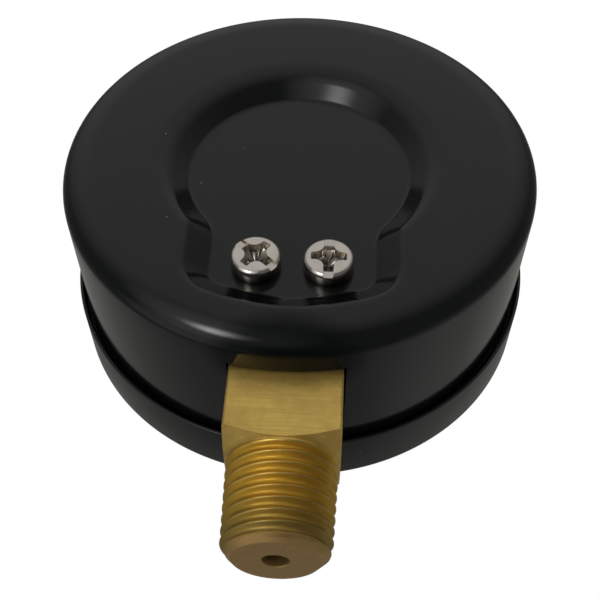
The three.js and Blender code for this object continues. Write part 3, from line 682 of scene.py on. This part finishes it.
def thread_rows(angles):
    """Rows that follow the helix, held between the stem's end face and the shoulder."""
    pitch, length = THREAD["pitch"], THREAD["length"]
    rise = pitch * (angles - angles[0]) / (2 * math.pi)
    turns = math.ceil(length / pitch) + 1
    rows, grooves = [], []
    for turn in range(-1, turns):
        for share, depth in thread_profile():
            z = np.clip((turn + share) * pitch + rise, 0, length)
            fade = np.clip((length - z) / THREAD["fade"], 0, 1)
            cut_in = depth * fade
            radius = crest_radius(z) - THREAD["depth"] * cut_in
            chamfer = THREAD_CHAMFER["face_radius"] + z / THREAD_CHAMFER["slope"]
            radius = np.minimum(radius, chamfer)
            rows.append(np.stack([radius * np.cos(angles), radius * np.sin(angles), z], axis=1))
            grooves.append(cut_in)
    return rows, grooves


def stem():
    """The brass stem: tapered thread, turned shoulder, wrench square, chamfered end and bore."""
    angles, square_radius = stem_columns()
    lap = np.append(angles, angles[0] + 2 * math.pi)
    rows, grooves = thread_rows(lap)
    count = len(lap)
    direction = np.stack([np.cos(lap), np.sin(lap)], axis=1)
    square = np.append(square_radius, square_radius[0])
    start = crest_radius(THREAD["length"])
    rise = (square - start) * SQUARE["shoulder_slope"]
    for share in (0.0, 0.03, 0.35, 0.7, 0.97, 1.0):
        radius = (start + (square - start) * share)[:, None]
        height = (THREAD["length"] + rise * share)[:, None]
        rows.append(np.hstack([direction * radius, height]))
        grooves.append(np.zeros(count))
    crease = THREAD["length"] + rise
    for share in (0.015, 0.3, 0.6, 0.985, 1.0):
        height = (crease + (SQUARE["top_z"] - crease) * share)[:, None]
        rows.append(np.hstack([direction * square[:, None], height]))
        grooves.append(np.zeros(count))
    bore, sink = BORE["radius"], BORE["countersink"]
    inner = [(THREAD_CHAMFER["face_radius"], 0), (bore + sink + 0.1, 0), (bore + sink, 0)]
    inner += [(bore, sink), (bore, BORE["depth"]), (0.0, BORE["depth"] + bore / 2)]
    for radius, z in inner:
        rows.insert(0, np.hstack([direction * radius, np.full((count, 1), float(z))]))
        grooves.insert(0, np.zeros(count))
    rows.append(np.hstack([direction * 0, np.full((count, 1), float(SQUARE["top_z"]))]))
    grooves.append(np.zeros(count))
    vertices = np.vstack(rows)
    body = new_object("stem_brass", vertices, grid_faces(len(rows), count, wrap=False), gap=0)
    groove = body.data.attributes.new("groove", "FLOAT", "POINT")
    groove.data.foreach_set("value", np.concatenate(grooves).astype(np.float32))
    heal(body.data, 2e-4)
    finish_piece(smooth(body), "case", STEM_BRASS, "brass", "stem_socket")


def socket_block():
    """The block at the stem's top, inside the case, that the movement and the tube are fixed to."""
    bottom, front, rear = SOCKET["bottom"], SOCKET["front"], SOCKET["rear"]
    size = (STEM_HIGH.x - STEM_LOW.x, rear - front, STEM_HIGH.z - bottom)
    centre = (0, front + size[1] / 2, bottom + size[2] / 2)
    block = box(size, centre)
    block.name = "socket_block"
    modify(block, "BEVEL", width=SOCKET["bevel"] * MM, segments=2)
    finish_piece(smooth(block), "case", WORKS_BRASS, "brass")


# ------------------------------------------------------------------ case screws

def cross_outline():
    """The cross recess at its mouth: four wings with rounded ends and wide fillets between them."""
    wing, half, fillet, wing_end = CROSS["wing"], CROSS["half_width"], CROSS["fillet"], CROSS["wing_end"]
    corners = [(wing, -half, wing_end), (wing, half, wing_end), (half, half, fillet)]
    around = []
    for _ in range(4):
        around += corners
        corners = [(-y, x, size) for x, y, size in corners]
    return np.array(filleted(around, closed=True, steps=6))


def cross_tool():
    """The punch that makes the cross recess: steep at its mouth, then running down to a blunt point."""
    outline = cross_outline()
    # (depth below the head's top, share of the mouth's width)
    steps = ((-0.6, 1.04), (0, 1.0), (1.3, 0.86), (1.7, 0.6), (2.1, 0.12))
    vertices = [(x * share, -deep, z * share) for deep, share in steps for x, z in outline]
    faces = grid_faces(len(steps), len(outline))
    faces.append(tuple(range(len(outline))))
    faces.append(tuple(range(len(vertices) - len(outline), len(vertices))))
    return new_object("cross_tool", vertices, faces)


def slot_tool():
    """The saw slot right across the head, a little narrower at its bottom."""
    tool = box((2.4 * SCREW["head"], 2 * SCREW["slot_depth"], SCREW["slot"]), (0, 0, 0))
    draft = 0.14
    for vertex in tool.data.vertices:
        vertex.co.z *= 1 - draft if vertex.co.y < 0 else 1 + draft
    return tool


def case_screw(side, across, slot_deg):
    """A plated cheese-head screw with a slot right across it and a cross recess."""
    seat = BACK_Y - RECESS["depth"]
    top = seat + SCREW["height"]
    head, rim, crown = SCREW["head"], SCREW["rim"], SCREW["crown"]
    shank, end = SCREW["shank"], seat - SCREW["shank_length"]
    site = (across * SCREW["x"], SCREW["z"])
    profile = filleted([
        (0, top, 0), (head * 0.6, top - crown * 0.3, 6), (head, top - crown, rim), (head, seat, 0.12),
        (shank, seat, 0.1), (shank, end, 0.3), (0, end, 0),
    ], steps=7)
    screw = spun(f"case_screw_{side}_plated", profile, site, 96)
    placed = Matrix.Translation(Vector((site[0], top, site[1] + DIAL_AXIS_Z)) * MM)
    placed = placed @ Matrix.Rotation(math.radians(slot_deg), 4, "Y")
    tools = [slot_tool(), cross_tool()]
    for tool in tools:
        tool.data.transform(placed)
    cut(screw, *tools)
    modify(screw, "BEVEL", width=0.11 * MM, segments=3, limit_method="ANGLE", angle_limit=math.radians(30))
    finish_piece(smooth(screw, 50), "case", NICKEL, "nickel", f"case_screw_{side}")


# ------------------------------------------------------------------ window, seal, dial and pointer

def window():
    """The round window glass, with its edges ground smooth."""
    radius, ground = (LENS_HIGH.x - LENS_LOW.x) / 2, 0.25
    front, back = LENS_LOW.y, LENS_HIGH.y
    corners = [(0, front, 0), (radius, front, ground), (radius, back, ground), (0, back, 0)]
    profile = filleted(corners, steps=3)
    lens = spun("window_glass", profile, segments=192)
    lens.visible_shadow = False
    finish_piece(smooth(lens), "case", GLASS, "glass", "window_lens")


def seal():
    """The rubber channel between the glass and the ring."""
    outer, front, rear = (SEAL_HIGH.x - SEAL_LOW.x) / 2, SEAL_LOW.y, SEAL_HIGH.y
    inner, skirt, flange, soft = SEAL["inner"], SEAL["skirt"], SEAL["flange"], SEAL["round"]
    profile = filleted([
        (inner, front, soft), (outer, front, soft), (outer, rear, soft), (outer - skirt, rear, soft),
        (outer - skirt, front + flange, soft), (inner, front + flange, soft),
    ], closed=True, steps=3)
    channel = spun("window_seal", profile, segments=192, closed=True)
    finish_piece(smooth(channel), "case", RUBBER, "rubber", "window_gasket")


BAR_FACES = [(0, 1, 2, 3), (7, 6, 5, 4), (0, 4, 5, 1), (1, 5, 6, 2), (2, 6, 7, 3), (3, 7, 4, 0)]


def dial_point(radius, degrees, y):
    """A point round the dial axis, in the gauge's own frame."""
    angle = math.radians(degrees)
    return (radius * math.cos(angle), y, radius * math.sin(angle) + DIAL_AXIS_Z)


def scale_bar(inner, outer, half, degrees):
    """Eight corners of a printed line that runs along a radius of the dial."""
    low, high = DIAL_FRONT_Y - SCALE["ink"], DIAL_FRONT_Y
    side = Vector(dial_point(1, degrees + 90, 0)) - Vector((0, 0, DIAL_AXIS_Z))
    corners = []
    for y in (low, high):
        for radius, sign in ((inner, -1), (outer, -1), (outer, 1), (inner, 1)):
            corners.append(Vector(dial_point(radius, degrees, y)) + side * half * sign)
    return corners


def scale_lines():
    """The dial's ticks: long at each number and short between."""
    vertices, faces = [], []
    steps = SCALE["numbered"] * SCALE["per_number"]
    for i in range(steps + 1):
        degrees = SCALE["zero_deg"] - SCALE["sweep_deg"] * i / steps
        kind = "long" if i % SCALE["per_number"] == 0 else "short"
        inner, half = SCALE["outer"] - SCALE[kind], SCALE[kind + "_half"]
        corners = scale_bar(inner, SCALE["outer"], half, degrees)
        first = len(vertices)
        vertices += corners
        faces += [tuple(first + k for k in f) for f in BAR_FACES]
    lines = new_object("scale_lines", vertices, faces, gap=0)
    finish_piece(lines, "case", DIAL_INK, "pointer_black")


def scale_arc():
    """The printed arc that ties the ticks together."""
    steps = 180
    inner, outer = SCALE["arc_inner"], SCALE["arc_outer"]
    low, high = DIAL_FRONT_Y - SCALE["ink"], DIAL_FRONT_Y
    angles = [SCALE["zero_deg"] - SCALE["sweep_deg"] * k / steps for k in range(steps + 1)]
    corners = ((inner, high), (inner, low), (outer, low), (outer, high), (inner, high))
    vertices = [dial_point(radius, degrees, y) for radius, y in corners for degrees in angles]
    faces = grid_faces(len(corners), len(angles), wrap=False)
    finish_piece(new_object("scale_arc", vertices, faces), "case", DIAL_INK, "pointer_black")


def printed(name, text, size, radius, degrees):
    """A number or word printed flat on the dial, upright as seen from the front."""
    curve = bpy.data.curves.new(name, "FONT")
    curve.body = text
    curve.size = size * MM
    curve.extrude = SCALE["ink"] / 2 * MM
    curve.align_x = "CENTER"
    curve.align_y = "CENTER"
    curve.offset = 0.04 * MM
    writing = bpy.data.objects.new(name, curve)
    bpy.context.collection.objects.link(writing)
    evaluated = writing.evaluated_get(bpy.context.evaluated_depsgraph_get())
    mesh = bpy.data.meshes.new_from_object(evaluated)
    bpy.data.objects.remove(writing)
    spot = Vector(dial_point(radius, degrees, DIAL_FRONT_Y - SCALE["ink"] / 2))
    mesh.transform(Matrix.Translation(spot * MM) @ Matrix.Rotation(math.pi / 2, 4, "X"))
    piece = bpy.data.objects.new(name, mesh)
    bpy.context.collection.objects.link(piece)
    finish_piece(piece, "case", DIAL_INK, "pointer_black")


def dial_print():
    """Everything printed on the dial: ticks, arc, numbers and unit."""
    scale_lines()
    scale_arc()
    for i in range(SCALE["numbered"] + 1):
        degrees = SCALE["zero_deg"] - SCALE["sweep_deg"] * i / SCALE["numbered"]
        value = SCALE["top"] * i // SCALE["numbered"]
        printed(f"scale_number_{value}", str(value), SCALE["number_size"], SCALE["number_radius"], degrees)
    printed("scale_unit", "psi", SCALE["unit_size"], SCALE["unit_radius"], -90)


def pointer():
    """The pressed pointer: a tapered blade with a flared tail and a round boss, pointing at zero."""
    low, high = node_box("pointer")
    zero = math.radians(SCALE["zero_deg"])
    boss, reach, tail = POINTER["boss"], POINTER["reach"], POINTER["tail"]
    root_half, tail_half, tip_half = POINTER["root_half"], POINTER["tail_half"], POINTER["tip_half"]
    edge = [(-tail, tail_half), (-boss, root_half), (boss, root_half), (reach - 1, tip_half)]
    outline = edge + [(reach, 0)] + [(x, -z) for x, z in reversed(edge)]
    count = len(outline)
    vertices = [(x, y, z) for y in (low.y, high.y) for x, z in outline]
    faces = [tuple(range(count)), tuple(range(2 * count - 1, count - 1, -1))]
    faces += [(i, (i + 1) % count, (i + 1) % count + count, i + count) for i in range(count)]
    blade = new_object("pointer_blade", vertices, faces)
    blade.data.transform(Matrix.Translation((0, 0, DIAL_AXIS_Z * MM)) @ Matrix.Rotation(-zero, 4, "Y"))
    front, rear, bead = low.y - 0.02, high.y + 0.02, 0.08
    corners = [(0, front, 0), (boss, front, bead), (boss, rear, bead), (0, rear, 0)]
    disc = spun("pointer_boss", filleted(corners, steps=2), segments=96)
    modify(blade, "BOOLEAN", operation="UNION", solver="EXACT", object=disc)
    bpy.data.objects.remove(disc)
    modify(blade, "BEVEL", width=0.06 * MM, segments=2, limit_method="ANGLE", angle_limit=math.radians(40))
    finish_piece(smooth(blade, 50), "pointer_shaft", POINTER_BLACK, "pointer_black", "pointer")


def pointer_hub():
    """The turned brass hub that the pointer is staked to."""
    low, high = node_box("pointer_hub")
    radius, collar, bead = HUB["radius"], HUB["collar"], HUB["bead"]
    shoulder = high.y - HUB["collar_height"]
    profile = filleted([
        (0, low.y, 0), (radius, low.y, 0.3), (radius, shoulder, 0.05), (collar, shoulder, bead),
        (collar, high.y, bead), (0, high.y, 0),
    ], steps=4)
    hub = spun("pointer_hub_turned", profile, segments=64)
    finish_piece(smooth(hub), "pointer_shaft", WORKS_BRASS, "brass", "pointer_hub")


def dial_screw(side):
    """A small slotted screw that holds the dial to one of its posts."""
    low, high = node_box(f"dial_screw_{side}")
    centre = ((low.x + high.x) / 2, (low.z + high.z) / 2 - DIAL_AXIS_Z)
    head, shank = DIAL_SCREW["head"], DIAL_SCREW["shank"]
    seat = low.y + DIAL_SCREW["height"]
    profile = filleted([
        (0, low.y, 0), (head, low.y, 0.2), (head, seat, 0.05), (shank, seat, 0.05), (shank, high.y, 0.1),
        (0, high.y, 0),
    ], steps=4)
    screw = spun(f"dial_screw_{side}_plated", profile, centre, 48)
    slot = (2.5 * head, DIAL_SCREW["slot_depth"], DIAL_SCREW["slot"])
    cut(screw, box(slot, (centre[0], low.y, centre[1] + DIAL_AXIS_Z)))
    modify(screw, "BEVEL", width=0.03 * MM, segments=2, limit_method="ANGLE", angle_limit=math.radians(40))
    finish_piece(smooth(screw, 50), "case", NICKEL, "nickel", f"dial_screw_{side}")


def stop_pin():
    """The pin that the pointer rests against at zero."""
    low, high = node_box("stop_pin")
    centre = ((low.x + high.x) / 2, (low.z + high.z) / 2 - DIAL_AXIS_Z)
    radius = (high.x - low.x) / 2
    corners = [(0, low.y, 0), (radius, low.y, 0.25), (radius, high.y, 0), (0, high.y, 0)]
    pin = spun("stop_pin_round", filleted(corners, steps=5), centre, 48)
    finish_piece(smooth(pin), "case", STEEL, "steel", "stop_pin")


# ------------------------------------------------------------------ Bourdon tube and the other works

def bourdon_tube():
    """The C-shaped tube: a flattened oval section along its arc."""
    straight = TUBE["half_wide"] - TUBE["half_thick"]
    half = np.linspace(-math.pi / 2, math.pi / 2, 13)
    thick = TUBE["half_thick"]
    side = np.stack([straight + thick * np.cos(half), thick * np.sin(half)], axis=1)
    section = np.vstack([side, -side])
    steps = 120
    rows = []
    for k in range(steps + 1):
        degrees = TUBE["root_deg"] + (TUBE["tip_deg"] - TUBE["root_deg"]) * k / steps
        rows += [dial_point(TUBE["radius"] + r, degrees, TUBE["y"] + w) for w, r in section]
    count = len(section)
    faces = grid_faces(steps + 1, count)
    faces += [tuple(range(count)), tuple(range(steps * count, (steps + 1) * count))]
    tube = smooth(new_object("bourdon_tube_drawn", rows, faces))
    tube.data.materials.append(BRONZE)
    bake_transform(tube)
    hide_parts("bourdon_tube")


KEPT_NODES = {
    "dial_plate": DIAL_WHITE, "dial_post_left": WORKS_BRASS, "dial_post_right": WORKS_BRASS,
    "movement_bottom_plate": WORKS_BRASS, "movement_top_plate": WORKS_BRASS,
    "movement_pillar_left": WORKS_BRASS, "movement_pillar_right": WORKS_BRASS,
    "movement_pillar_lower": WORKS_BRASS, "movement_screw_upper": STEEL, "movement_screw_lower": STEEL,
    "pillar_screw": STEEL, "pinion_arbor": STEEL, "sector_gear": WORKS_BRASS, "sector_arbor": STEEL,
    "link": WORKS_BRASS, "link_pin_tip": STEEL, "link_pin_sector": STEEL, "tube_tip": WORKS_BRASS,
    "hairspring": BRONZE, "hairspring_collet": WORKS_BRASS, "hairspring_stud": WORKS_BRASS,
}


def finish_kept_nodes():
    """The hidden works keep their CAD shapes and get their own finishes."""
    for node, material in KEPT_NODES.items():
        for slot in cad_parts[node].material_slots:
            slot.material = material


# ------------------------------------------------------------------ floor, light and camera

CAMERA = {
    "place": (-5.32, 102.13, -42.35), "forward": (0.03465, -0.78814, 0.61452),
    "right": (-0.99864, -0.00340, 0.05196), "lens": 57.08, "sensor": 36,
}
FLOOR = {"z": -0.3, "half": 3.0}
KEY = {"from": (0.42, 0.74, -0.53), "distance": 600, "watts": 0.4, "size": (0.2, 0.14)}
ROOM = {
    "walls": 0.10, "low": 0.02, "table": 0.13, "warmth": 0.12, "key_glow": 0.5, "key": 7.0,
    "ceiling": 0.34, "ceiling_at": (0.08, 0.75, 0.65), "window": 0.36, "window_at": (0.67, 0.0, -0.75),
    "far_wall": 0.10, "far_wall_at": (-0.75, -0.55, -0.35),
}


def camera():
    """The photographer's place: behind the case, below the stem, a little to one side."""
    data = bpy.data.cameras.new("camera")
    data.lens, data.sensor_width = CAMERA["lens"], CAMERA["sensor"]
    data.clip_start, data.clip_end = 0.01, 10
    forward = Vector(CAMERA["forward"]).normalized()
    right = Vector(CAMERA["right"])
    right = (right - right.dot(forward) * forward).normalized()
    turn = Matrix((right, right.cross(forward), -forward)).transposed()
    made = bpy.data.objects.new("camera", data)
    made.matrix_world = Matrix.Translation(Vector(CAMERA["place"]) * MM) @ turn.to_4x4()
    bpy.context.collection.objects.link(made)
    bpy.context.scene.camera = made


def floor():
    """A plain pale floor well below the gauge; its sizes are in metres."""
    low, half = FLOOR["z"], FLOOR["half"]
    corners = [(-half, -half, low), (half, -half, low), (half, half, low), (-half, half, low)]
    mesh = bpy.data.meshes.new("floor")
    mesh.from_pydata(corners, [], [(0, 1, 2, 3)])
    made = bpy.data.objects.new("floor", mesh)
    bpy.context.collection.objects.link(made)
    material, tree, shader = new_material("floor_pale", Roughness=0.9)
    tint = blend_colours(tree, noise(tree, 200, 2), (0.80, 0.80, 0.79), (0.82, 0.82, 0.81))
    tree.links.new(tint, shader.inputs["Base Color"])
    mesh.materials.append(material)
    made.visible_glossy = False


def key_light():
    """A soft lamp over the photographer's shoulder; its mirror image is drawn in the surround."""
    data = bpy.data.lights.new("key", "AREA")
    data.shape = "RECTANGLE"
    data.size, data.size_y = KEY["size"]
    data.energy = KEY["watts"]
    made = bpy.data.objects.new("key", data)
    aim = Vector((0, 0, DIAL_AXIS_Z)) * MM
    made.location = aim + Vector(KEY["from"]).normalized() * KEY["distance"] * MM
    made.rotation_mode = "QUATERNION"
    made.rotation_quaternion = (aim - made.location).to_track_quat("-Z", "Y")
    made.visible_camera = False
    made.visible_glossy = False
    bpy.context.collection.objects.link(made)


def facing(tree, direction, towards):
    """Cosine of the angle between a direction and a fixed one."""
    values = {0: direction, 1: Vector(towards).normalized()}
    return add(tree, "VectorMath", values, operation="DOT_PRODUCT").outputs["Value"]


def patch(tree, direction, towards, edge, middle, level, power=1.0):
    """A round bright patch of the surround, zero at cosine `edge` and `level` from cosine `middle` in."""
    share = between(tree, facing(tree, direction, towards), edge, middle)
    return math_node(tree, "MULTIPLY", math_node(tree, "POWER", share, power), level)


def room(tree, direction):
    """What the metal and the paint mirror: a bright ceiling, a paler table, a dark place for the camera.

    Returns the level of light, and the warm light of the table within it.
    """
    level = between(tree, facing(tree, direction, (0, 0, 1)), -0.99, -0.86, ROOM["low"], ROOM["walls"])
    table = between(tree, facing(tree, direction, (0, 0, 1)), -0.5, 0.25, 0.35, 1.0)
    table = math_node(tree, "MULTIPLY", table, patch(tree, direction, (0, -1, 0), 0.3, 0.75, ROOM["table"]))
    parts = [
        table,
        patch(tree, direction, ROOM["ceiling_at"], 0.45, 0.88, ROOM["ceiling"]),
        patch(tree, direction, KEY["from"], 0.80, 0.95, ROOM["key_glow"]),
        patch(tree, direction, KEY["from"], 0.95, 0.999, ROOM["key"], 4.0),
        patch(tree, direction, ROOM["window_at"], 0.82, 0.97, ROOM["window"]),
        patch(tree, direction, ROOM["far_wall_at"], 0.86, 0.98, ROOM["far_wall"]),
    ]
    for part in parts:
        level = math_node(tree, "ADD", level, part)
    return level, table


def studio():
    """A pale surround for the eye and for diffuse light; mirrored rays see the room instead."""
    world = bpy.data.worlds.new("studio")
    bpy.context.scene.world = world
    world.use_nodes = True
    world.cycles.sampling_method = "NONE"
    tree = world.node_tree
    path = add(tree, "LightPath").outputs
    mirrored = math_node(tree, "SUBTRACT", path["Is Glossy Ray"], path["Is Transmission Ray"])
    seen, warm = room(tree, add(tree, "TexCoord").outputs["Generated"])
    blue = math_node(tree, "MULTIPLY_ADD", warm, -ROOM["warmth"], seen)
    level = add(tree, "Mix", {0: mirrored, 2: 1.0, 3: seen}, data_type="FLOAT").outputs[0]
    blue = add(tree, "Mix", {0: mirrored, 2: 1.0, 3: blue}, data_type="FLOAT").outputs[0]
    shade = add(tree, "CombineColor", {0: level, 1: level, 2: blue}).outputs[0]
    tree.links.new(shade, tree.nodes["Background"].inputs["Color"])
    key_light()
    bpy.context.scene.view_settings.view_transform = "Standard"


# ------------------------------------------------------------------ assembly

camera()
floor()
studio()
case_shell()
slip_ring()
stem()
socket_block()
case_screw("left", -1, 90)
case_screw("right", 1, -38)
window()
seal()
dial_print()
pointer()
pointer_hub()
for side in ("left", "right"):
    dial_screw(side)
stop_pin()
bourdon_tube()
finish_kept_nodes()
